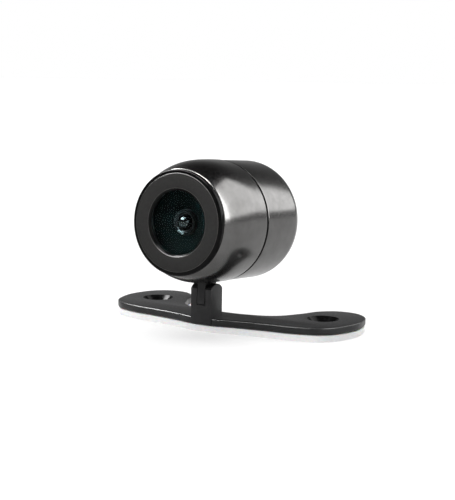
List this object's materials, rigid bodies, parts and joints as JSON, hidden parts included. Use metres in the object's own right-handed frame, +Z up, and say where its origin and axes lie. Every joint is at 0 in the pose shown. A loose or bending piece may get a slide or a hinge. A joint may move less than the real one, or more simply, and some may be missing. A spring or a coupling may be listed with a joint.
{
  "type": "backup camera",
  "caption": "Round tilting backup camera on a flat two-wing bracket with countersunk screw holes and a foam adhesive pad.",
  "frame": {"origin": "under the middle of the column, on the underside of the adhesive pad", "axes": "+Z up out of the surface it is stuck to, -Y the way the lens looks, +X along the bracket"},
  "size_m": [0.0574, 0.0336, 0.0354],
  "materials": {
    "black_chrome": "glossy black chrome, smooth, with soft reflections",
    "satin_metal": "satin dark grey-brown, glossy black side, bright thin edges",
    "black_paint": "semi-gloss black",
    "white_foam": "matte white foam tape",
    "steel": "bare steel",
    "nylon": "natural nylon",
    "rubber": "matte black rubber",
    "matte_black": "anodised matte black",
    "window_glass": "clear flat glass",
    "lens_glass": "coated optical glass",
    "filter_glass": "pale cyan filter glass",
    "circuit_board": "green solder mask",
    "chip_plastic": "black moulded plastic",
    "can_metal": "bright metal can",
    "socket_plastic": "cream moulded plastic"
  },
  "bodies": {
    "base": {"adhesive_pad": "white_foam", "mounting_bracket": "black_paint", "tilt_bush": "nylon", "tilt_screw": "steel"},
    "camera_head": {"front_housing": "black_chrome", "rear_cover": "black_chrome", "front_bezel": "satin_metal", "window_glass": "window_glass", "window_gasket": "rubber", "lens_baffle": "matte_black", "lens_barrel": "matte_black", "lens_front_element": "lens_glass", "lens_middle_element": "lens_glass", "lens_rear_element": "lens_glass", "lens_spacer": "matte_black", "lens_retaining_ring": "steel", "ir_filter": "filter_glass", "lens_holder": "chip_plastic", "lens_holder_screw_1": "steel", "lens_holder_screw_2": "steel", "image_sensor": "chip_plastic", "sensor_board": "circuit_board", "sensor_board_screw_1": "steel", "sensor_board_screw_2": "steel", "image_processor": "chip_plastic", "crystal": "can_metal", "board_header": "chip_plastic", "power_board": "circuit_board", "power_board_screw_1": "steel", "power_board_screw_2": "steel", "capacitor_1": "can_metal", "capacitor_2": "can_metal", "inductor": "chip_plastic", "voltage_regulator": "chip_plastic", "wire_socket": "socket_plastic", "housing_seal": "rubber", "cable_gland": "rubber"}
  },
  "joints": [
    {"name": "tilt", "type": "hinge", "parent": "base", "child": "camera_head", "pos_m": [0, 0, 0.0074], "axis": [1, 0, 0], "range_deg": [-25, 40]}
  ]
}
